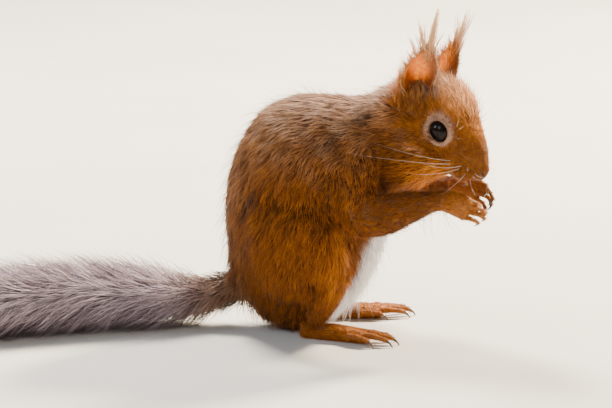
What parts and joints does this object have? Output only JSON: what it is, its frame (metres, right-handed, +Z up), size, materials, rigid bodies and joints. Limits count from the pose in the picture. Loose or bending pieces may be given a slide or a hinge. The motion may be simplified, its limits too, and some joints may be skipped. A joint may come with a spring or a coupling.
{
  "type": "red squirrel",
  "caption": "Life-size red squirrel sitting up on its hind feet, forepaws at its mouth, with tufted ears and a bushy tail laid on the floor.",
  "frame": {"origin": "on the floor, under the middle of the box round the whole animal", "axes": "+X the way the body faces, +Y to the animal's left, +Z up"},
  "size_m": [0.2882, 0.1314, 0.1535],
  "materials": {
    "coat": "red-brown fur",
    "back": "grey-brown fur",
    "face": "short red-brown fur",
    "ear": "thin skin with short hair",
    "ear_tuft": "long pale hairs",
    "eye": "wet gloss",
    "paw": "skin with short hair",
    "tail": "long dark grey-brown fur"
  },
  "bodies": {
    "root": {"head": "face", "neck": "back", "trunk": "coat", "tail_base": "tail", "tail_middle": "tail", "tail_end": "tail", "ear_right": "ear", "ear_tuft_right": "ear_tuft", "eye_right": "eye", "upper_arm_right": "coat", "forearm_right": "coat", "forepaw_right": "paw", "thigh_right": "coat", "shank_right": "coat", "hind_foot_right": "paw", "ear_left": "ear", "ear_tuft_left": "ear_tuft", "eye_left": "eye", "upper_arm_left": "coat", "forearm_left": "coat", "forepaw_left": "paw", "thigh_left": "coat", "shank_left": "coat", "hind_foot_left": "paw"}
  },
  "joints": []
}
